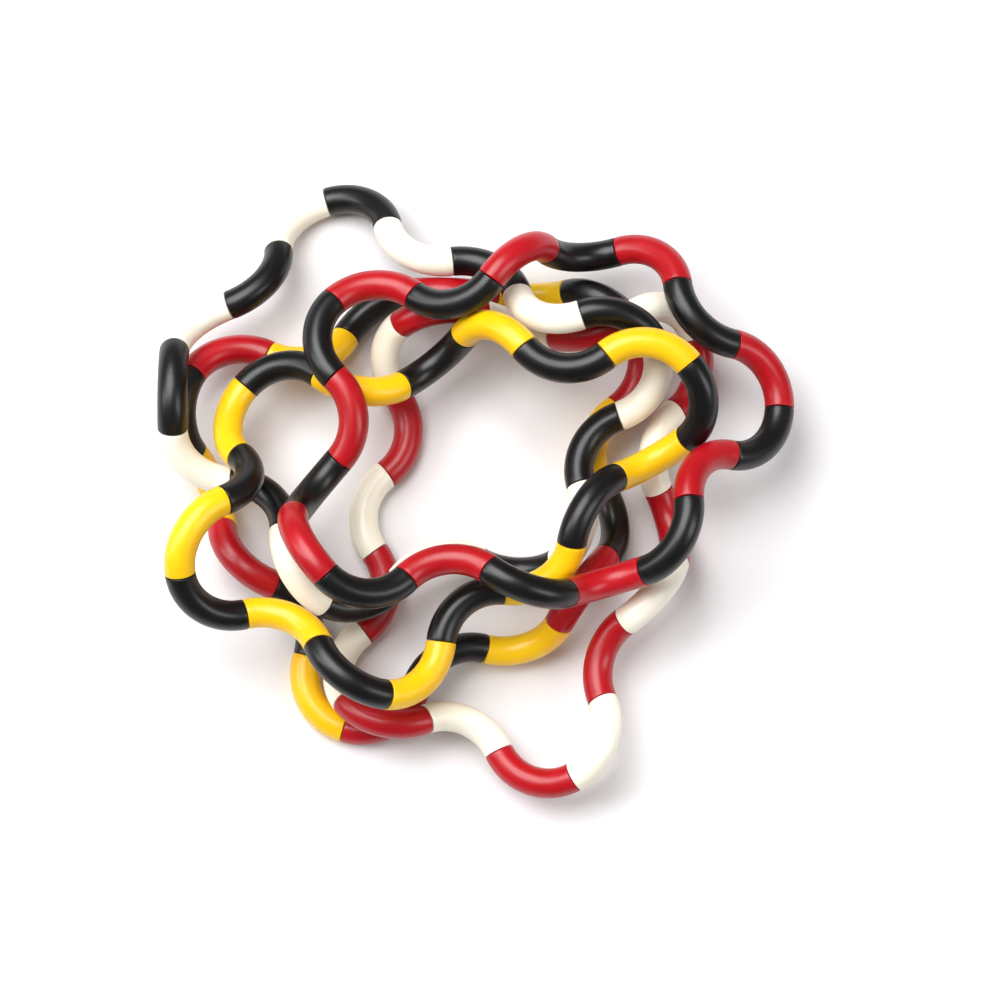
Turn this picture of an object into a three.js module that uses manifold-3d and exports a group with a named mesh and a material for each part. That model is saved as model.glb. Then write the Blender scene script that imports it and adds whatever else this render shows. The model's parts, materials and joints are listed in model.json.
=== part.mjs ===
// Five twisty snake puzzles lying in one loose pile. Each is a closed loop of eighteen hollow
// quarter-bend tubes. A snap stud at one end of every tube turns in the socket of the next.
// Millimetres, +Z up. The footprint is centred on the origin and the pile rests on z = 0.
import * as THREE from "three";
import { mergeVertices } from "three/addons/utils/BufferGeometryUtils.js";
import Module from "manifold-3d";

// Driving dimensions of one section.
const TUBE_DIAMETER = 11;
const BEND_RADIUS = 21.25;
const WALL = 1.4;
const END_WALL = 1.5;
const HEAD_ROOM = 0.69; // between the stud's head and the bore's flats, as the bore bends away
const HEAD_CATCH = 0.18; // how far the head stands out past the corners of the socket's hole
const HEAD_TAPER = 0.9; // how much slimmer the head's tip is
const HEAD_LENGTH = 1.2;
const SWIVEL_CLEARANCE = 0.3;
const FACE_GAP = 0.3;

// The pile.
const LOOP_GAP = 0.5; // left between two loops that lie on each other
const OPENED_GAP = 2.2; // between the two faces of a swivel that is left undone
const SETTLE_ROUNDS = 8;
const SAMPLES_PER_SECTION = 9;
const FIRST_STEPS = 60; // most steps that closing a loop takes: at first, in a round, at the end
const ROUND_STEPS = 6;
const LAST_STEPS = 30;
const DAMPING = 0.02; // holds a step short where the middles don't say which way to go
const SETTLED = 1e-7; // a loop has closed when nothing in it moves more than this

// Facets.
const TUBE_SIDES = 8;
const STUD_SIDES = 6;
const STEPS_PER_SECTION = 3;

const SECTIONS = 18;
const QUARTER = Math.PI / 2;
const TUBE_RADIUS = TUBE_DIAMETER / 2;
const FLAT_SHARE = Math.cos(Math.PI / TUBE_SIDES); // a flat's distance over a corner's
const BORE_RADIUS = TUBE_RADIUS - WALL;
const HEAD_RADIUS = BORE_RADIUS * FLAT_SHARE - HEAD_ROOM;
const HOLE_RADIUS = HEAD_RADIUS - HEAD_CATCH;
const NECK_RADIUS = HOLE_RADIUS * FLAT_SHARE - SWIVEL_CLEARANCE;
const WELD = 1e-4; // corners nearer than this are one

const COLOURS = {
  red: { color: 0xc81928, roughness: 0.32, metalness: 0 },
  yellow: { color: 0xffd719, roughness: 0.32, metalness: 0 },
  ivory: { color: 0xfffdf0, roughness: 0.3, metalness: 0 },
  black: { color: 0x19191c, roughness: 0.34, metalness: 0 },
};

// The loops, lowest first. A loop's middles are the places of the middles of its sections, from
// section 1 on, in bend radii: right, back and up from the table under the middle of the pile.
// level lists the sections that lie flat, opened the section whose stud is left undone, and
// runs the neighbours that are made as one piece, first and last.
const LOOPS = [
  {
    name: "e",
    colours: ["yellow", "red", "black"],
    level: [7],
    opened: null,
    runs: [[1, 3], [4, 6], [7, 9], [10, 12], [13, 15], [16, 18]],
    middles: [
      [-3.4, 2.4, 0.75], [-4.8, 2.4, 0.5], [-5.4, 1.2, 1.0], [-4.7, 0.2, 0.5], [-4.6, -1.1, 0.75],
      [-3.6, -2.0, 0.5], [-3.5, -3.5, 0.25], [-2.1, -4.0, 0.25], [-1.1, -2.8, 0.5], [0.4, -2.7, 0.5],
      [1.5, -1.7, 1.0], [2.0, -0.4, 0.5], [1.8, 1.0, 0.5], [2.5, 2.2, 0.5], [1.7, 3.4, 1.0],
      [0.5, 3.6, 0.5], [-1.0, 3.6, 1.0], [-2.3, 3.3, 0.5],
    ],
  },
  {
    name: "c",
    colours: ["ivory", "red"],
    level: [],
    opened: 4,
    runs: [[6, 9], [10, 13], [14, 18]],
    middles: [
      [-0.6, -4.0, 0.5], [0.6, -5.0, 0.75], [1.8, -4.3, 1.0], [1.7, -2.9, 0.75], [2.7, -1.9, 1.25],
      [3.1, -0.5, 0.25], [2.7, 0.7, 0.75], [3.5, 2.1, 0.5], [3.0, 3.2, 1.25], [1.4, 2.8, 1.75],
      [0.2, 2.9, 0.75], [-0.9, 3.0, 1.25], [-2.0, 2.3, 0.5], [-1.7, 1.1, 0.25], [-2.4, -0.2, 0.25],
      [-2.1, -1.7, 0.25], [-2.7, -2.8, 0.5], [-2.2, -4.0, 1.0],
    ],
  },
  {
    name: "d",
    colours: ["black", "ivory"],
    level: [],
    opened: 18,
    runs: [[7, 9], [10, 12], [13, 15], [16, 18]],
    middles: [
      [-5.7, 1.6, 2.0], [-5.2, 2.9, 1.25], [-4.3, 3.8, 1.0], [-3.5, 4.9, 0.25], [-2.3, 5.1, 0.5],
      [-1.6, 4.3, 0.5], [-0.2, 4.1, 1.0], [0.5, 3.0, 2.0], [2.0, 2.9, 2.25], [2.6, 1.8, 1.5],
      [1.6, 0.7, 1.25], [1.4, -0.7, 1.25], [0.2, -1.5, 0.5], [-1.2, -1.1, 1.0], [-2.4, -1.9, 1.0],
      [-3.5, -1.5, 1.5], [-4.0, -0.2, 1.25], [-5.4, 0.5, 1.25],
    ],
  },
  {
    name: "b",
    colours: ["yellow", "black"],
    level: [],
    opened: 18,
    runs: [],
    middles: [
      [-5.2, -0.8, 2.75], [-5.0, -2.1, 2.0], [-3.6, -2.3, 1.75], [-2.6, -3.4, 2.25], [-1.2, -3.4, 1.5],
      [-0.7, -2.1, 1.5], [0.8, -1.6, 1.5], [1.3, -0.5, 2.0], [2.6, 0.4, 1.25], [3.4, 1.4, 2.25],
      [2.5, 2.3, 2.5], [1.2, 1.9, 2.25], [-0.1, 2.7, 1.75], [-1.1, 2.1, 1.0], [-2.5, 1.7, 1.5],
      [-3.8, 1.9, 1.25], [-4.8, 1.1, 1.25], [-4.3, 0.0, 2.0],
    ],
  },
  {
    name: "a",
    colours: ["red", "black"],
    level: [],
    opened: 6,
    runs: [],
    middles: [
      [-3.1, -1.1, 3.0], [-2.2, -1.9, 2.75], [-0.9, -1.5, 2.5], [0.4, -1.9, 2.75], [1.8, -1.9, 1.75],
      [2.7, -1.1, 2.25], [3.4, 0.3, 1.5], [4.7, 0.7, 1.25], [4.6, 2.2, 1.25], [3.3, 2.9, 1.75],
      [2.7, 4.1, 1.5], [1.5, 4.2, 1.0], [0.2, 3.9, 2.25], [-0.9, 3.0, 2.0], [-2.2, 3.2, 1.75],
      [-3.0, 2.5, 2.0], [-2.6, 1.1, 2.0], [-3.2, 0.0, 1.75],
    ],
  },
];

// ---- How a loop lies ----
// Swivel k joins section k to section k + 1, and swivel 0 is the start of section 1. A loop is
// its start and the eighteen unit directions of its swivels. Each section turns from its first
// direction to the next by a quarter circle, so neighbours are square to each other, and the
// directions of a closed loop add up to nothing. Lengths here are in bend radii.

// Solves a square set of equations by elimination with pivots. The last column is the answer's.
function solveEquations(rows) {
  const count = rows.length;
  for (let i = 0; i < count; i += 1) {
    let pivot = i;
    for (let j = i + 1; j < count; j += 1) {
      if (Math.abs(rows[j][i]) > Math.abs(rows[pivot][i])) pivot = j;
    }
    [rows[i], rows[pivot]] = [rows[pivot], rows[i]];
    for (let j = i + 1; j < count; j += 1) {
      const share = rows[j][i] / rows[i][i];
      if (share === 0) continue;
      for (let k = i; k <= count; k += 1) rows[j][k] -= share * rows[i][k];
    }
  }
  const answer = new Float64Array(count);
  for (let i = count - 1; i >= 0; i -= 1) {
    let sum = rows[i][count];
    for (let k = i + 1; k < count; k += 1) sum -= rows[i][k] * answer[k];
    answer[i] = sum / rows[i][i];
  }
  return answer;
}

// Shares of the start and of each direction in the point of section k at the given turn.
function sharesOfPoint(k, turn) {
  const shares = new Array(SECTIONS + 1).fill(0);
  shares[0] = 1;
  for (let j = 0; j < k; j += 1) {
    shares[1 + j] += 1;
    shares[1 + ((j + 1) % SECTIONS)] += 1;
  }
  shares[1 + k] += Math.sin(turn);
  shares[1 + ((k + 1) % SECTIONS)] += 1 - Math.cos(turn);
  return shares;
}

const MIDDLE_SHARES = Array.from({ length: SECTIONS }, (_, k) => sharesOfPoint(k, QUARTER / 2));

function pointFromShares(shares, loop) {
  const point = new THREE.Vector3();
  shares.forEach((share, i) => point.addScaledVector(loop[i], share));
  return point;
}

// What a loop's directions still miss, with the slope of each miss: length, squareness, closure
// and the level sections.
function misses(loop, level) {
  const list = [];
  const add = (miss, slopes) => list.push({ miss, slopes });
  for (let k = 0; k < SECTIONS; k += 1) {
    const here = loop[1 + k];
    const next = 1 + ((k + 1) % SECTIONS);
    add(here.dot(here) - 1, [[1 + k, here.clone().multiplyScalar(2)]]);
    add(here.dot(loop[next]), [[1 + k, loop[next]], [next, here]]);
  }
  for (const axis of [0, 1, 2]) {
    const unit = new THREE.Vector3().setComponent(axis, 1);
    let sum = 0;
    const slopes = [];
    for (let k = 1; k <= SECTIONS; k += 1) {
      sum += loop[k].getComponent(axis);
      slopes.push([k, unit]);
    }
    add(sum, slopes);
  }
  const up = new THREE.Vector3(0, 0, 1);
  for (const section of level) {
    add(loop[section].z, [[section, up]]);
    add(loop[(section % SECTIONS) + 1].z, [[(section % SECTIONS) + 1, up]]);
  }
  return list;
}

// Moves a loop, step by step, until it closes exactly with its middles as near as they can be
// to the wanted ones.
function closeLoop(loop, wanted, level, steps) {
  const size = 3 * (SECTIONS + 1);
  for (let step = 0; step < steps; step += 1) {
    const rules = misses(loop, level);
    const total = size + rules.length;
    const rows = Array.from({ length: total }, () => new Float64Array(total + 1));
    MIDDLE_SHARES.forEach((shares, k) => {
      const off = wanted[k].clone().sub(pointFromShares(shares, loop));
      for (let i = 0; i <= SECTIONS; i += 1) {
        if (shares[i] === 0) continue;
        for (const axis of [0, 1, 2]) {
          rows[3 * i + axis][total] += shares[i] * off.getComponent(axis);
          for (let j = 0; j <= SECTIONS; j += 1) {
            rows[3 * i + axis][3 * j + axis] += shares[i] * shares[j];
          }
        }
      }
    });
    for (let i = 0; i < size; i += 1) rows[i][i] += DAMPING;
    rules.forEach(({ miss, slopes }, n) => {
      rows[size + n][total] = -miss;
      for (const [i, slope] of slopes) {
        for (const axis of [0, 1, 2]) {
          rows[size + n][3 * i + axis] += slope.getComponent(axis);
          rows[3 * i + axis][size + n] += slope.getComponent(axis);
        }
      }
    });
    const move = solveEquations(rows).subarray(0, size);
    loop.forEach((vector, i) => vector.add(new THREE.Vector3().fromArray(move, 3 * i)));
    if (Math.max(...move.map(Math.abs)) < SETTLED) return;
  }
}

// A first loop whose swivels point from each middle to the next.
function roughLoop(wanted) {
  const directions = wanted.map((middle, k) => {
    const before = wanted[(k + SECTIONS - 1) % SECTIONS];
    return middle.clone().sub(before).normalize();
  });
  const start = wanted[0].clone();
  start.addScaledVector(directions[0], -Math.sin(QUARTER / 2));
  start.addScaledVector(directions[1], Math.cos(QUARTER / 2) - 1);
  return [start, ...directions];
}

function centrelineSamples(loop) {
  const samples = [];
  for (let k = 0; k < SECTIONS; k += 1) {
    for (let i = 0; i < SAMPLES_PER_SECTION; i += 1) {
      const turn = ((i + 0.5) / SAMPLES_PER_SECTION) * QUARTER;
      samples.push(pointFromShares(sharesOfPoint(k, turn), loop));
    }
  }
  return samples;
}

// How far a sample has to rise to clear the table and every loop beneath.
function riseNeeded(sample, beneath) {
  const apart = (TUBE_DIAMETER + LOOP_GAP) / BEND_RADIUS;
  let rise = TUBE_RADIUS / BEND_RADIUS - sample.z;
  for (const other of beneath) {
    const across = (sample.x - other.x) ** 2 + (sample.y - other.y) ** 2;
    if (across >= apart * apart) continue;
    rise = Math.max(rise, other.z + Math.sqrt(apart * apart - across) - sample.z);
  }
  return rise;
}

// Lays a loop on the loops beneath. Where a section would sink into them its middle is raised
// by half of what it lacks and the loop is closed again, and the whole loop rises by the rest.
function layLoop({ middles, level }, beneath) {
  const wanted = middles.map((place) => new THREE.Vector3(...place));
  const loop = roughLoop(wanted);
  closeLoop(loop, wanted, level, FIRST_STEPS);
  for (let round = 0; round < SETTLE_ROUNDS; round += 1) {
    const rises = centrelineSamples(loop).map((sample) => riseNeeded(sample, beneath));
    wanted.forEach((middle, k) => {
      const own = rises.slice(k * SAMPLES_PER_SECTION, (k + 1) * SAMPLES_PER_SECTION);
      middle.z += Math.max(0, ...own) / 2;
    });
    closeLoop(loop, wanted, level, ROUND_STEPS);
  }
  closeLoop(loop, wanted, level, LAST_STEPS);
  const rises = centrelineSamples(loop).map((sample) => riseNeeded(sample, beneath));
  loop[0].z += Math.max(...rises);
  return loop;
}

// The bends of a laid loop, in millimetres: where each starts, and its directions there and at
// its end.
function bendsOfLoop(loop) {
  return Array.from({ length: SECTIONS }, (_, k) => ({
    start: pointFromShares(sharesOfPoint(k, 0), loop).multiplyScalar(BEND_RADIUS),
    from: loop[1 + k].clone().normalize(),
    to: loop[1 + ((k + 1) % SECTIONS)].clone().normalize(),
  }));
}

// ---- The pieces ----
const wasm = await Module();
wasm.setup();

function solidFrom(geometry) {
  geometry.deleteAttribute("normal");
  geometry.deleteAttribute("uv");
  const merged = mergeVertices(geometry, WELD);
  const vertProperties = Float32Array.from(merged.attributes.position.array);
  const triVerts = Uint32Array.from(merged.index.array);
  return new wasm.Manifold(new wasm.Mesh({ numProp: 3, vertProperties, triVerts }));
}

function geometryFrom(solid) {
  const mesh = solid.getMesh();
  const geometry = new THREE.BufferGeometry();
  geometry.setAttribute("position", new THREE.BufferAttribute(mesh.vertProperties, 3));
  geometry.setIndex(new THREE.BufferAttribute(mesh.triVerts, 1));
  geometry.computeVertexNormals();
  return geometry;
}

// The centreline through a row of quarter bends, less a trim at each end.
class BendPath extends THREE.Curve {
  constructor(bends, startTrim, endTrim) {
    super();
    this.bends = bends;
    this.first = startTrim / BEND_RADIUS;
    this.last = bends.length * QUARTER - endTrim / BEND_RADIUS;
  }
  bendAt(share) {
    const turned = this.first + share * (this.last - this.first);
    const index = Math.min(Math.floor(turned / QUARTER), this.bends.length - 1);
    return [this.bends[index], turned - index * QUARTER];
  }
  getPoint(share) {
    const [bend, turn] = this.bendAt(share);
    const point = bend.start.clone();
    point.addScaledVector(bend.from, BEND_RADIUS * Math.sin(turn));
    return point.addScaledVector(bend.to, BEND_RADIUS * (1 - Math.cos(turn)));
  }
  getTangent(share) {
    const [bend, turn] = this.bendAt(share);
    return bend.from.clone().multiplyScalar(Math.cos(turn)).addScaledVector(bend.to, Math.sin(turn));
  }
  getUtoTmapping(share) {
    return share; // the bends are equally long, so a share of the turn is a share of the length
  }
}

// A polygon whose flats face along both axes of its plane.
function polygon(radius, sides) {
  const corners = Array.from({ length: sides }, (_, i) => {
    const angle = ((i + 0.5) / sides) * 2 * Math.PI;
    return new THREE.Vector2(radius * Math.cos(angle), radius * Math.sin(angle));
  });
  return new THREE.Shape(corners);
}

function sweptSolid(bends, startTrim, endTrim, radius) {
  return solidFrom(
    new THREE.ExtrudeGeometry(polygon(radius, TUBE_SIDES), {
      extrudePath: new BendPath(bends, startTrim, endTrim),
      steps: bends.length * STEPS_PER_SECTION,
    }),
  );
}

// A turned shape on an axis through a point. Its profile lists radius and height, from the
// axis to the axis.
function turnedSolid(profile, sides, point, direction) {
  const points = profile.map(([radius, height]) => new THREE.Vector2(radius, height));
  const geometry = new THREE.LatheGeometry(points, sides);
  const turn = new THREE.Quaternion().setFromUnitVectors(new THREE.Vector3(0, 1, 0), direction);
  geometry.applyQuaternion(turn).translate(point.x, point.y, point.z);
  return solidFrom(geometry);
}

// The socket: a hole in the end wall whose flats clear the round neck. The head turns in the
// bore behind it.
function socketSolid(bend, face) {
  const depth = face + END_WALL + SWIVEL_CLEARANCE;
  const profile = [[0, -depth], [HOLE_RADIUS, -depth], [HOLE_RADIUS, depth], [0, depth]];
  return turnedSolid(profile, TUBE_SIDES, bend.start, bend.from);
}

// The stud: a neck through the next section's end wall, and a head with a lead-in taper.
function studSolid(bend) {
  const end = bend.start.clone();
  end.addScaledVector(bend.from, BEND_RADIUS).addScaledVector(bend.to, BEND_RADIUS);
  const root = -(FACE_GAP + END_WALL) / 2;
  const head = FACE_GAP / 2 + END_WALL + SWIVEL_CLEARANCE;
  const tip = head + HEAD_LENGTH;
  const neck = [[0, root], [NECK_RADIUS, root], [NECK_RADIUS, head]];
  const profile = [...neck, [HEAD_RADIUS, head], [HEAD_RADIUS - HEAD_TAPER, tip], [0, tip]];
  return turnedSolid(profile, STUD_SIDES, end, bend.to);
}

// One hollow piece: a section, or a run of sections. startGap and endGap are the gaps to the
// neighbours' faces, and each piece gives half of them.
function pieceGeometry(bends, startGap, endGap, hasStud) {
  const start = startGap / 2;
  const end = endGap / 2;
  const bore = sweptSolid(bends, start + END_WALL, end + END_WALL, BORE_RADIUS);
  let solid = sweptSolid(bends, start, end, TUBE_RADIUS).subtract(bore);
  solid = solid.subtract(socketSolid(bends[0], start));
  if (hasStud) solid = solid.add(studSolid(bends.at(-1)));
  return geometryFrom(solid);
}

// A section's own frame: it starts at the origin along +Z and bends towards +X.
const PLAIN_BEND = {
  start: new THREE.Vector3(),
  from: new THREE.Vector3(0, 0, 1),
  to: new THREE.Vector3(1, 0, 0),
};
const SECTION = pieceGeometry([PLAIN_BEND], FACE_GAP, FACE_GAP, true);
const SECTION_BEFORE_OPENING = pieceGeometry([PLAIN_BEND], FACE_GAP, OPENED_GAP, false);
const SECTION_AFTER_OPENING = pieceGeometry([PLAIN_BEND], OPENED_GAP, FACE_GAP, true);

function plastic(colour) {
  return new THREE.MeshStandardMaterial(COLOURS[colour]);
}

function twoDigits(number) {
  return String(number).padStart(2, "0");
}

function sectionMesh(spec, section, bends) {
  const { start, from, to } = bends[section - 1];
  const afterOpening = spec.opened !== null && section === (spec.opened % SECTIONS) + 1;
  let geometry = afterOpening ? SECTION_AFTER_OPENING : SECTION;
  if (section === spec.opened) geometry = SECTION_BEFORE_OPENING;
  const colour = spec.colours[(section - 1) % spec.colours.length];
  const mesh = new THREE.Mesh(geometry, plastic(colour));
  mesh.name = `loop_${spec.name}_section_${twoDigits(section)}`;
  const side = new THREE.Vector3().crossVectors(from, to);
  mesh.quaternion.setFromRotationMatrix(new THREE.Matrix4().makeBasis(to, side, from));
  mesh.position.copy(start);
  return mesh;
}

function runMesh(spec, [first, last], bends) {
  const endGap = last === spec.opened ? OPENED_GAP : FACE_GAP;
  const own = bends.slice(first - 1, last);
  const geometry = pieceGeometry(own, FACE_GAP, endGap, last !== spec.opened);
  const colour = spec.colours[(first - 1) % spec.colours.length];
  const mesh = new THREE.Mesh(geometry, plastic(colour));
  mesh.name = `loop_${spec.name}_run_${twoDigits(first)}_${twoDigits(last)}`;
  return mesh;
}

function loopGroup(spec, bends) {
  const group = new THREE.Group();
  const inRun = (section) => spec.runs.some(([first, last]) => section >= first && section <= last);
  for (let section = 1; section <= SECTIONS; section += 1) {
    if (!inRun(section)) group.add(sectionMesh(spec, section, bends));
  }
  for (const run of spec.runs) group.add(runMesh(spec, run, bends));
  return group;
}

const pile = new THREE.Group();
const beneath = [];
for (const spec of LOOPS) {
  const loop = layLoop(spec, beneath);
  beneath.push(...centrelineSamples(loop));
  pile.add(loopGroup(spec, bendsOfLoop(loop)));
}

// The footprint's centre goes to the origin, and the lowest flat to z = 0.
const box = new THREE.Box3().setFromObject(pile, true);
const centre = box.getCenter(new THREE.Vector3());
pile.position.set(-centre.x, -centre.y, -box.min.z);

const part = new THREE.Group();
part.add(pile);
export default part;
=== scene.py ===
"""Five looped snake puzzles in a loose pile: the looks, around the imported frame.

Metres, +Z up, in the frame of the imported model.
"""
import json
import math

import bmesh
import bpy
import numpy as np
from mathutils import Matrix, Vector


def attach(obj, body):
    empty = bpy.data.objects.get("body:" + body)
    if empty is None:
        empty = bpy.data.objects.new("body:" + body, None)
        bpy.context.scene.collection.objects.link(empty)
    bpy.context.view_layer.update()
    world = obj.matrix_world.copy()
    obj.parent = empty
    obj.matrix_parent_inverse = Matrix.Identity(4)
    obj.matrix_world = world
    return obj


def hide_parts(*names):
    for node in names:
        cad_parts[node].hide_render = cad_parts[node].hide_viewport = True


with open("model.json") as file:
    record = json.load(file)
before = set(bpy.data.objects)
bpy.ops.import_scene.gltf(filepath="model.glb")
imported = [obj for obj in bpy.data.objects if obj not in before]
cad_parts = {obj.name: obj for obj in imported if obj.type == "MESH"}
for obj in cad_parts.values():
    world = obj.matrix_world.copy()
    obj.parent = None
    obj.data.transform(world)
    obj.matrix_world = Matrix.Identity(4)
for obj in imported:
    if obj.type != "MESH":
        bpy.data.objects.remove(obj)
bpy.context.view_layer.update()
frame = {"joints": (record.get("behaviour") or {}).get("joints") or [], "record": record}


# ------------------------------------------------------------------------------------------
# The swivel chain. A toy of this kind is a ring of eighteen quarter bends, and each of them
# can only turn about the end of the one before it, so a ring lies as its swivels let it and
# rests on the table and on the rings that were dropped before it.
TUBE_RADIUS = 0.0055
BEND_RADIUS = 0.02125
RING_GAP = 0.0005       # left between two rings that lie on each other
SECTIONS = 18
QUARTER = math.pi / 2
SAMPLES = 9             # points along each section where it is tested for what lies beneath
SETTLE_ROUNDS = 8
FIRST_STEPS = 60        # most steps that closing a ring takes: at first, in a round, at the end
ROUND_STEPS = 6
LAST_STEPS = 30


def shares_of(k, turn):
    """How much of the start and of each swivel direction is in a point of section k."""
    shares = np.zeros(SECTIONS + 1)
    shares[0] = 1
    for j in range(k):
        shares[1 + j] += 1
        shares[1 + (j + 1) % SECTIONS] += 1
    shares[1 + k] += math.sin(turn)
    shares[1 + (k + 1) % SECTIONS] += 1 - math.cos(turn)
    return shares


MIDDLE_SHARES = np.array([shares_of(k, QUARTER / 2) for k in range(SECTIONS)])
START_SHARES = np.array([shares_of(k, 0) for k in range(SECTIONS)])
SAMPLE_SHARES = np.array([
    shares_of(k, (i + 0.5) / SAMPLES * QUARTER) for k in range(SECTIONS) for i in range(SAMPLES)
])


def misses(ring, level):
    """What the directions still lack, with slopes: length, squareness, closure, level sections."""
    rows = []
    for k in range(SECTIONS):
        here, after = 1 + k, 1 + (k + 1) % SECTIONS
        slope = np.zeros((SECTIONS + 1, 3))
        slope[here] = 2 * ring[here]
        rows.append((ring[here] @ ring[here] - 1, slope))
        slope = np.zeros((SECTIONS + 1, 3))
        slope[here], slope[after] = ring[after], ring[here]
        rows.append((ring[here] @ ring[after], slope))
    for axis in range(3):
        slope = np.zeros((SECTIONS + 1, 3))
        slope[1:, axis] = 1
        rows.append((ring[1:, axis].sum(), slope))
    for section in level:
        for direction in (section, section % SECTIONS + 1):
            slope = np.zeros((SECTIONS + 1, 3))
            slope[direction, 2] = 1
            rows.append((ring[direction, 2], slope))
    return np.array([miss for miss, _ in rows]), np.array([s.ravel() for _, s in rows])


def close_ring(ring, wanted, level, steps):
    """Moves a ring until it closes, with its middles as near as they can be to the wanted ones."""
    damping = 0.02      # holds a step short where the middles don't say which way to go
    settled = 1e-7      # a ring has closed when nothing in it moves more than this
    size = 3 * (SECTIONS + 1)
    pull = np.kron(MIDDLE_SHARES.T @ MIDDLE_SHARES, np.eye(3)) + damping * np.eye(size)
    for _ in range(steps):
        miss, slopes = misses(ring, level)
        rules = len(miss)
        matrix = np.block([[pull, slopes.T], [slopes, np.zeros((rules, rules))]])
        off = MIDDLE_SHARES.T @ (wanted - MIDDLE_SHARES @ ring)
        move = np.linalg.solve(matrix, np.concatenate([off.ravel(), -miss]))[:size]
        ring = ring + move.reshape(-1, 3)
        if np.abs(move).max() < settled:
            break
    return ring


def rises_needed(points, beneath):
    """How far each point has to rise to clear the table and the rings beneath."""
    apart = (2 * TUBE_RADIUS + RING_GAP) / BEND_RADIUS
    rises = TUBE_RADIUS / BEND_RADIUS - points[:, 2]
    if len(beneath):
        across = ((points[:, None, :2] - beneath[None, :, :2]) ** 2).sum(-1)
        over = np.sqrt(np.maximum(0, apart ** 2 - across))
        lift = beneath[None, :, 2] + over - points[:, None, 2]
        rises = np.maximum(rises, np.where(across < apart ** 2, lift, -np.inf).max(1))
    return rises


def lay_ring(middles, level, beneath):
    """Lays a ring on those beneath: sections that would sink in rise, and the ring closes again."""
    wanted = np.array(middles, float)
    directions = wanted - np.roll(wanted, 1, axis=0)
    directions /= np.linalg.norm(directions, axis=1)[:, None]
    reach, sag = math.sin(QUARTER / 2), 1 - math.cos(QUARTER / 2)
    start = wanted[0] - reach * directions[0] - sag * directions[1]
    ring = close_ring(np.vstack([start, directions]), wanted, level, FIRST_STEPS)
    for _ in range(SETTLE_ROUNDS):
        rises = rises_needed(SAMPLE_SHARES @ ring, beneath).reshape(SECTIONS, SAMPLES).max(1)
        wanted[:, 2] += np.maximum(0, rises) / 2
        ring = close_ring(ring, wanted, level, ROUND_STEPS)
    ring = close_ring(ring, wanted, level, LAST_STEPS)
    ring[0, 2] += rises_needed(SAMPLE_SHARES @ ring, beneath).max()
    return ring


# ------------------------------------------------------------------------------------------
# The plastic. Every section is injection-moulded ABS, coloured right through, off a lightly
# polished tool: a semi-gloss skin with a faint pebble, flow marks and a little handling wear.
FLOW_SCALE = 55.0           # waves to the metre: flow marks 18 mm long
CLOUD_SCALE = 14.0          # clouding of the colour, over two sections and more
PEBBLE_SCALE = 2600.0       # the tool's grain, 0.4 mm
WEAR_SCALE = 420.0          # spots rubbed by handling, 2 to 3 mm
SCRATCH_STRETCH = (90.0, 90.0, 900.0)
BUMP_HEIGHT = 0.0001


class Finish:
    """A material under construction. link() adds a node and returns its output as a Shade.

    Its values are named for their sockets, or i0, i1 and so on for sockets that share a name.
    """

    def __init__(self, name):
        self.material = bpy.data.materials.new(name)
        self.material.use_nodes = True
        self.tree = self.material.node_tree
        self.skin = self.tree.nodes["Principled BSDF"]

    def link(self, kind, output=0, settings=None, **values):
        node = self.tree.nodes.new(kind)
        for key, value in (settings or {}).items():
            setattr(node, key, value)
        for key, value in values.items():
            numbered = key[0] == "i" and key[1:].isdigit()
            self.feed(node.inputs[int(key[1:]) if numbered else key.replace("_", " ")], value)
        return Shade(self, node.outputs[output])

    def feed(self, socket, value):
        if isinstance(value, Shade):
            self.tree.links.new(value.socket, socket)
        else:
            socket.default_value = value

    def set(self, **values):
        for key, value in values.items():
            self.feed(self.skin.inputs[key.replace("_", " ")], value)


class Shade:
    """A number that varies over a surface. Plain arithmetic on it adds Math nodes."""

    def __init__(self, finish, socket):
        self.finish = finish
        self.socket = socket

    def math(self, operation, first, second=0.0):
        return self.finish.link("ShaderNodeMath", settings={"operation": operation},
                                i0=first, i1=second)

    def __add__(self, other):
        return self.math("ADD", self, other)

    __radd__ = __add__

    def __mul__(self, other):
        return self.math("MULTIPLY", self, other)

    __rmul__ = __mul__

    def __sub__(self, other):
        return self.math("SUBTRACT", self, other)

    def __rsub__(self, other):
        return self.math("SUBTRACT", other, self)

    def above(self, low, high):
        """0 below low, 1 above high, and a smooth ramp between."""
        return self.finish.link("ShaderNodeMapRange", settings={"interpolation_type": "SMOOTHSTEP"},
                                Value=self, From_Min=low, From_Max=high)


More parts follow.
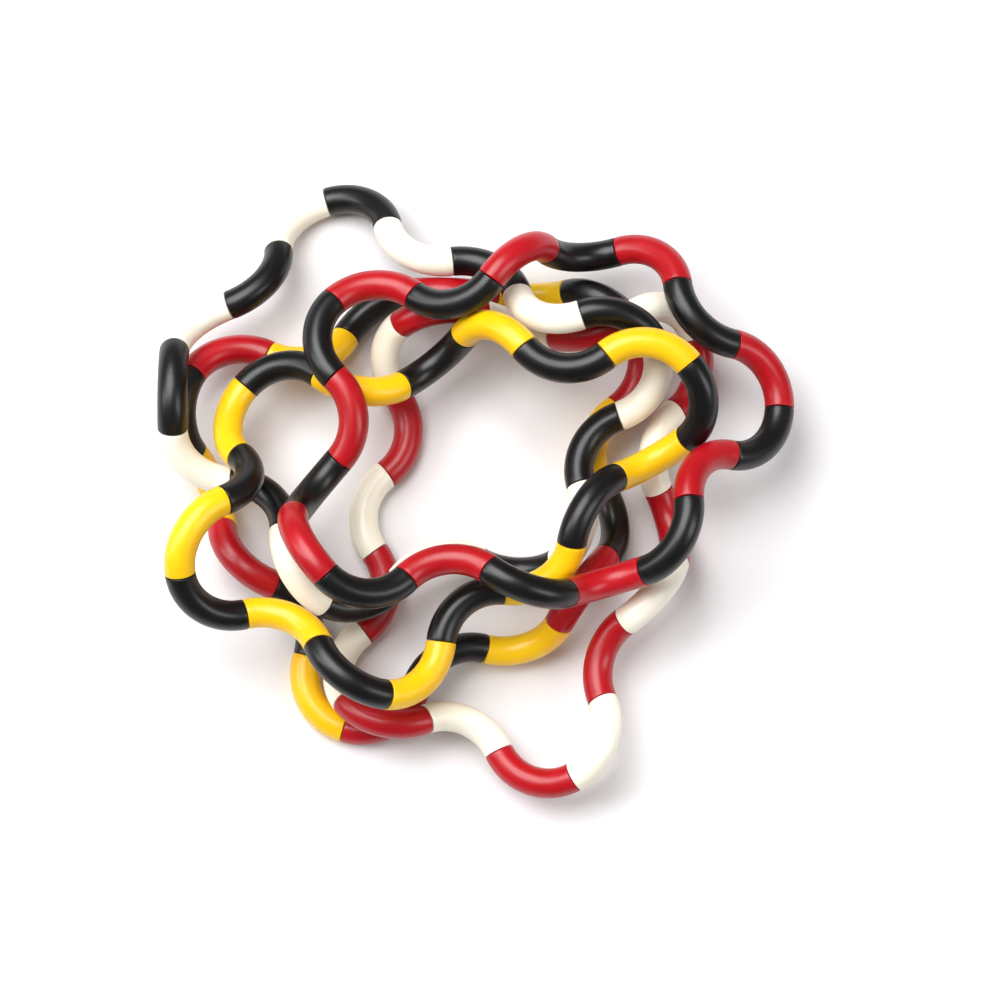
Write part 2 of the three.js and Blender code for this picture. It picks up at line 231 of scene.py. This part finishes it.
def abs_plastic(name, deep, bright, roughness, streaks, glow=0.0):
    """Moulded ABS between two tones of one colour.

    streaks is how much the flow marks show, and glow how much light gets under the skin.
    """
    finish = Finish(name)
    place = finish.link("ShaderNodeTexCoord", output="Object")

    def noise(scale, detail=2.0, rough=0.5):
        return finish.link("ShaderNodeTexNoise", Vector=place, Scale=scale, Detail=detail,
                           Roughness=rough)

    flow = noise(FLOW_SCALE, 3.0, 0.6)
    cloud = noise(CLOUD_SCALE, 2.0)
    pebble = noise(PEBBLE_SCALE, 2.0, 0.55)
    wear = noise(WEAR_SCALE, 4.0, 0.7).above(0.56, 0.72)
    stretched = finish.link("ShaderNodeMapping", Vector=place, Scale=SCRATCH_STRETCH)
    scratch = finish.link("ShaderNodeTexNoise", Vector=stretched, Scale=3.0, Detail=3.0)
    rubbed = scratch.above(0.6, 0.74) * wear
    tone = flow * 0.6 + cloud * 0.4
    mixed = finish.link("ShaderNodeMix", output=2, settings={"data_type": "RGBA"},
                        i0=tone.above(0.34, 0.66), i6=(*deep, 1), i7=(*bright, 1))
    finish.set(Base_Color=mixed)
    finish.set(Roughness=roughness + streaks * (flow - 0.5) + 0.05 * (pebble - 0.5) + 0.12 * rubbed)
    height = pebble + 0.5 * flow - 0.35 * rubbed
    finish.set(Normal=finish.link("ShaderNodeBump", Height=height, Strength=0.16,
                                  Distance=BUMP_HEIGHT))
    finish.set(Specular_IOR_Level=0.42, IOR=1.5, Coat_Weight=0.08, Coat_Roughness=0.18)
    finish.set(Subsurface_Weight=glow, Subsurface_Radius=(1.0, 0.3, 0.06), Subsurface_Scale=0.003)
    return finish.material


# The darker tone, the lighter one, the roughness and the flow marks of each colour. Only the
# yellow lets some light under its skin.
PLASTICS = {
    "red": abs_plastic("red_abs", (0.37, 0.0018, 0.006), (0.46, 0.0036, 0.010), 0.33, 0.10),
    "yellow": abs_plastic("yellow_abs", (0.98, 0.51, 0.002), (1.0, 0.59, 0.004), 0.33, 0.08,
                          glow=0.3),
    "ivory": abs_plastic("ivory_abs", (0.92, 0.86, 0.71), (0.96, 0.91, 0.78), 0.31, 0.07),
    "black": abs_plastic("black_abs", (0.001, 0.001, 0.0013), (0.0024, 0.0024, 0.0029), 0.35, 0.14),
}


# ------------------------------------------------------------------------------------------
# One section. A hollow quarter bend, moulded in one with a socket behind a thick end wall at
# its start and a snap stud at its end. The stud's head is pressed through the wall's hole
# once, in assembly, and turns behind it from then on.
WALL = 0.0014
END_WALL = 0.0015
NECK_RADIUS = 0.0024
HEAD_RADIUS = 0.0031
HEAD_TIP_RADIUS = 0.0022
HEAD_LENGTH = 0.0012
SWIVEL_CLEARANCE = 0.0003
FACE_GAP = 0.0003
RIM_ROUND = 0.0003      # the softened outer edge of each face, which makes the seam line
EDGE_EASE = 0.0002      # the smaller break on the edges of the hole, the neck and the head
ROUND_SIDES = 40
BEND_STEPS = 22         # rings of vertices along the outer skin
BORE_STEPS = 14         # and along the bore
SHARP_EDGE = math.radians(50)
LENGTH = BEND_RADIUS * QUARTER


def rounded(distance, radius, towards, size=RIM_ROUND, steps=4):
    """A quarter-round at a rim, from the face out to the skin. towards is +1 into the section."""
    turns = [QUARTER * i / steps for i in range(steps + 1)]
    return [(distance + towards * size * (1 - math.cos(t)), radius - size * (1 - math.sin(t)))
            for t in turns]


def section_profile(has_stud):
    """Distance along the bent axis and radius, from the far end of the bore round to the stud."""
    first, last = FACE_GAP / 2, LENGTH - FACE_GAP / 2
    bore = TUBE_RADIUS - WALL
    hole = NECK_RADIUS + SWIVEL_CLEARANCE
    ease = EDGE_EASE
    bore_from, bore_to = first + END_WALL, last - END_WALL
    bore_step = (bore_from - bore_to) / BORE_STEPS
    inside = [(bore_to, 0.0), (bore_to, bore)]
    inside += [(bore_to + bore_step * i, bore) for i in range(1, BORE_STEPS + 1)]
    lip = [(bore_from, hole + ease), (bore_from - ease, hole),
           (first + ease, hole), (first, hole + ease)]
    face = rounded(first, TUBE_RADIUS, 1)
    skin_from, skin_to = face[-1][0], last - RIM_ROUND
    skin = [(skin_from + (skin_to - skin_from) * i / BEND_STEPS, TUBE_RADIUS)
            for i in range(1, BEND_STEPS)]
    far_face = rounded(last, TUBE_RADIUS, -1)[::-1]
    outside = face + skin + far_face
    if not has_stud:
        return inside + lip + outside + [(last, 0.0)]
    head = LENGTH + FACE_GAP / 2 + END_WALL + SWIVEL_CLEARANCE
    tip = head + HEAD_LENGTH
    root = [(last, NECK_RADIUS + ease), (last + ease, NECK_RADIUS)]
    snap = [(head - ease, NECK_RADIUS), (head, NECK_RADIUS + ease),
            (head, HEAD_RADIUS - ease), (head + ease, HEAD_RADIUS),
            (head + 2 * ease, HEAD_RADIUS), (tip - ease, HEAD_TIP_RADIUS),
            (tip, HEAD_TIP_RADIUS - ease), (tip, 0.0)]
    return inside + lip + outside + root + snap


def bent_lathe(name, profile, start, along, towards):
    """Turns a profile about an axis that is straight before and after one quarter bend."""
    side = np.cross(along, towards)
    mesh = bpy.data.meshes.new(name)
    points, faces, rings = [], [], []
    around = np.arange(ROUND_SIDES) / ROUND_SIDES * 2 * math.pi
    for distance, radius in profile:
        turn = min(max(distance / BEND_RADIUS, 0), QUARTER)
        spill = distance - turn * BEND_RADIUS
        tangent = math.cos(turn) * along + math.sin(turn) * towards
        inward = math.cos(turn) * towards - math.sin(turn) * along
        centre = start + BEND_RADIUS * (math.sin(turn) * along + (1 - math.cos(turn)) * towards)
        centre = centre + spill * tangent
        first = len(points)
        if radius == 0:
            points.append(centre)
            rings.append([first] * ROUND_SIDES)
            continue
        for angle in around:
            points.append(centre + radius * (math.cos(angle) * inward + math.sin(angle) * side))
        rings.append(list(range(first, first + ROUND_SIDES)))
    for lower, upper in zip(rings, rings[1:]):
        for i in range(ROUND_SIDES):
            j = (i + 1) % ROUND_SIDES
            corners = [lower[i], upper[i], upper[j], lower[j]]
            faces.append(list(dict.fromkeys(corners)))
    mesh.from_pydata([tuple(p) for p in points], [], faces)
    body = bmesh.new()
    body.from_mesh(mesh)
    bmesh.ops.recalc_face_normals(body, faces=body.faces)
    body.to_mesh(mesh)
    body.free()
    mesh.shade_smooth()
    mesh.set_sharp_from_angle(angle=SHARP_EDGE)
    piece = bpy.data.objects.new(name, mesh)
    bpy.context.scene.collection.objects.link(piece)
    return piece


# ------------------------------------------------------------------------------------------
# Stringing a ring together. The maker snaps eighteen sections end to end, colour after
# colour, and closes the ring. Each section moves with the body that carries it.
BODY_OF_NODE = {node: body for body, nodes in frame["record"]["behaviour"]["bodies"].items()
                for node in nodes}
rings_laid = {}


def lay_next(letter, middles, level=()):
    """Lays the next ring on all those laid so far."""
    beneath = [np.zeros((0, 3))] + [SAMPLE_SHARES @ ring for ring in rings_laid.values()]
    rings_laid[letter] = lay_ring(middles, level, np.vstack(beneath))


def frame_shift():
    """From the rings' own place to the frame's: where the frame's swivels are, on average."""
    shifts = []
    for joint in frame["joints"]:
        words = joint["name"].split("_")
        if words[2] != "swivel":
            continue
        start = START_SHARES[int(words[3]) % SECTIONS] @ rings_laid[words[1]] * BEND_RADIUS
        shifts.append(np.array(joint["pos_m"]) - start)
    return np.mean(shifts, axis=0)


def string_ring(letter, colours, runs=(), opened=None):
    """Makes every section of a laid ring. A run is one node that stands for several sections.

    opened is the section whose stud is left out, where the ring is undone so that it can move.
    """
    ring = rings_laid[letter]
    shift = frame_shift()
    for section in range(1, SECTIONS + 1):
        run = next(((a, b) for a, b in runs if a <= section <= b), None)
        node = f"loop_{letter}_section_{section:02d}"
        if run:
            node = f"loop_{letter}_run_{run[0]:02d}_{run[1]:02d}"
        start = START_SHARES[section - 1] @ ring * BEND_RADIUS + shift
        colour = colours[(section - 1) % len(colours)]
        piece = bent_lathe(f"tube_{letter}_{section:02d}", section_profile(section != opened),
                           start, ring[section], ring[section % SECTIONS + 1])
        piece.data.materials.append(PLASTICS[colour])
        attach(piece, BODY_OF_NODE[node])
        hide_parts(node)


# ------------------------------------------------------------------------------------------
# How the five rings lie, lowest first: the middles of their sections, in bend radii to the
# right, to the back and up from the table under the middle of the pile. A level section lies
# flat.
lay_next("e", level=[7], middles=[
    [-3.4, 2.4, 0.75], [-4.8, 2.4, 0.5], [-5.4, 1.2, 1.0], [-4.7, 0.2, 0.5], [-4.6, -1.1, 0.75],
    [-3.6, -2.0, 0.5], [-3.5, -3.5, 0.25], [-2.1, -4.0, 0.25], [-1.1, -2.8, 0.5], [0.4, -2.7, 0.5],
    [1.5, -1.7, 1.0], [2.0, -0.4, 0.5], [1.8, 1.0, 0.5], [2.5, 2.2, 0.5], [1.7, 3.4, 1.0],
    [0.5, 3.6, 0.5], [-1.0, 3.6, 1.0], [-2.3, 3.3, 0.5],
])
lay_next("c", middles=[
    [-0.6, -4.0, 0.5], [0.6, -5.0, 0.75], [1.8, -4.3, 1.0], [1.7, -2.9, 0.75], [2.7, -1.9, 1.25],
    [3.1, -0.5, 0.25], [2.7, 0.7, 0.75], [3.5, 2.1, 0.5], [3.0, 3.2, 1.25], [1.4, 2.8, 1.75],
    [0.2, 2.9, 0.75], [-0.9, 3.0, 1.25], [-2.0, 2.3, 0.5], [-1.7, 1.1, 0.25], [-2.4, -0.2, 0.25],
    [-2.1, -1.7, 0.25], [-2.7, -2.8, 0.5], [-2.2, -4.0, 1.0],
])
lay_next("d", middles=[
    [-5.7, 1.6, 2.0], [-5.2, 2.9, 1.25], [-4.3, 3.8, 1.0], [-3.5, 4.9, 0.25], [-2.3, 5.1, 0.5],
    [-1.6, 4.3, 0.5], [-0.2, 4.1, 1.0], [0.5, 3.0, 2.0], [2.0, 2.9, 2.25], [2.6, 1.8, 1.5],
    [1.6, 0.7, 1.25], [1.4, -0.7, 1.25], [0.2, -1.5, 0.5], [-1.2, -1.1, 1.0], [-2.4, -1.9, 1.0],
    [-3.5, -1.5, 1.5], [-4.0, -0.2, 1.25], [-5.4, 0.5, 1.25],
])
lay_next("b", middles=[
    [-5.2, -0.8, 2.75], [-5.0, -2.1, 2.0], [-3.6, -2.3, 1.75], [-2.6, -3.4, 2.25], [-1.2, -3.4, 1.5],
    [-0.7, -2.1, 1.5], [0.8, -1.6, 1.5], [1.3, -0.5, 2.0], [2.6, 0.4, 1.25], [3.4, 1.4, 2.25],
    [2.5, 2.3, 2.5], [1.2, 1.9, 2.25], [-0.1, 2.7, 1.75], [-1.1, 2.1, 1.0], [-2.5, 1.7, 1.5],
    [-3.8, 1.9, 1.25], [-4.8, 1.1, 1.25], [-4.3, 0.0, 2.0],
])
lay_next("a", middles=[
    [-3.1, -1.1, 3.0], [-2.2, -1.9, 2.75], [-0.9, -1.5, 2.5], [0.4, -1.9, 2.75], [1.8, -1.9, 1.75],
    [2.7, -1.1, 2.25], [3.4, 0.3, 1.5], [4.7, 0.7, 1.25], [4.6, 2.2, 1.25], [3.3, 2.9, 1.75],
    [2.7, 4.1, 1.5], [1.5, 4.2, 1.0], [0.2, 3.9, 2.25], [-0.9, 3.0, 2.0], [-2.2, 3.2, 1.75],
    [-3.0, 2.5, 2.0], [-2.6, 1.1, 2.0], [-3.2, 0.0, 1.75],
])


# ------------------------------------------------------------------------------------------
# The yellow, red and black ring: moulded ABS, snapped together in threes of colours. It was
# dropped first, lies low on the table and carries all the others.
string_ring("e", ["yellow", "red", "black"],
            runs=[(1, 3), (4, 6), (7, 9), (10, 12), (13, 15), (16, 18)])

# ------------------------------------------------------------------------------------------
# The ivory and red ring: moulded ABS, snapped together in two colours by turns. Its front
# sweeps out past the others, and its back climbs over the lowest ring.
string_ring("c", ["ivory", "red"], runs=[(6, 9), (10, 13), (14, 18)], opened=4)

# ------------------------------------------------------------------------------------------
# The black and ivory ring: moulded ABS, snapped together in two colours by turns. Its back
# left corner reaches furthest out of the pile.
string_ring("d", ["black", "ivory"], runs=[(7, 9), (10, 12), (13, 15), (16, 18)], opened=18)

# ------------------------------------------------------------------------------------------
# The yellow and black ring: moulded ABS, snapped together in two colours by turns. Its left
# end curls up off the table.
string_ring("b", ["yellow", "black"], opened=18)

# ------------------------------------------------------------------------------------------
# The red and black ring: moulded ABS, snapped together in two colours by turns. It was
# dropped last and lies on top of the other four, all of it in sight.
string_ring("a", ["red", "black"], opened=6)


# ------------------------------------------------------------------------------------------
# The table: one broad pale sheet of matt studio card with a faint tooth. The pile lies loose
# on it.
CARD_SIZE = 6.0
CARD_TOOTH_SCALE = 700.0    # the card's grain, 1.4 mm


def studio_card():
    finish = Finish("studio_card")
    place = finish.link("ShaderNodeTexCoord", output="Object")
    tooth = finish.link("ShaderNodeTexNoise", Vector=place, Scale=CARD_TOOTH_SCALE,
                        Detail=3.0)
    broad = finish.link("ShaderNodeTexNoise", Vector=place, Scale=3.0, Detail=1.0)
    tone = finish.link("ShaderNodeMix", output=2, settings={"data_type": "RGBA"},
                       i0=broad.above(0.3, 0.7), i6=(0.79, 0.78, 0.79, 1), i7=(0.83, 0.82, 0.83, 1))
    finish.set(Base_Color=tone, Roughness=0.82 + 0.06 * tooth, Specular_IOR_Level=0.2)
    finish.set(Normal=finish.link("ShaderNodeBump", Height=tooth, Strength=0.05, Distance=0.0001))
    return finish.material


bpy.ops.mesh.primitive_plane_add(size=CARD_SIZE)
card = bpy.context.object
card.name = "studio_card"
card.data.materials.append(studio_card())

# ------------------------------------------------------------------------------------------
# The light: one broad soft box overhead, a little to the back left, a narrow weaker one on
# each side for the long highlights, and a dim even surround. All of it is plain white.
target = Vector(frame_shift())
target.z = 0.0


def soft_box(name, offset, size, power):
    """A lamp with a rectangular face that looks at the middle of the table."""
    light = bpy.data.lights.new(name, "AREA")
    light.shape = "RECTANGLE"
    light.size, light.size_y = size
    light.energy = power
    lamp = bpy.data.objects.new(name, light)
    lamp.location = target + Vector(offset)
    lamp.rotation_euler = (target - lamp.location).to_track_quat("-Z", "Y").to_euler()
    bpy.context.scene.collection.objects.link(lamp)


soft_box("key_box", (-0.4, 0.4, 1.25), (1.0, 1.0), 25.0)
soft_box("left_box", (-1.0, 0.0, 0.8), (0.3, 0.9), 5.0)
soft_box("right_box", (0.95, -0.3, 0.85), (0.4, 0.8), 5.0)
world = bpy.data.worlds.new("surround")
world.use_nodes = True
world.node_tree.nodes["Background"].inputs["Color"].default_value = (1.0, 1.0, 1.0, 1)
world.node_tree.nodes["Background"].inputs["Strength"].default_value = 0.2
bpy.context.scene.world = world
bpy.context.scene.view_settings.view_transform = "Standard"

# ------------------------------------------------------------------------------------------
# The camera: on a stand in front of the pile, about a metre away, looking down almost plumb,
# ten degrees off the vertical. The pile fills two thirds of its frame.
CAMERA_REACH = 0.987
CAMERA_RISE = math.radians(80)
CAMERA_ANGLE = math.radians(21.8)
lens = bpy.data.cameras.new("camera")
lens.sensor_fit = "HORIZONTAL"
lens.angle = CAMERA_ANGLE
camera = bpy.data.objects.new("camera", lens)
camera.location = target + CAMERA_REACH * Vector((0, -math.cos(CAMERA_RISE), math.sin(CAMERA_RISE)))
camera.rotation_euler = (target - camera.location).to_track_quat("-Z", "Y").to_euler()
bpy.context.scene.collection.objects.link(camera)
bpy.context.scene.camera = camera
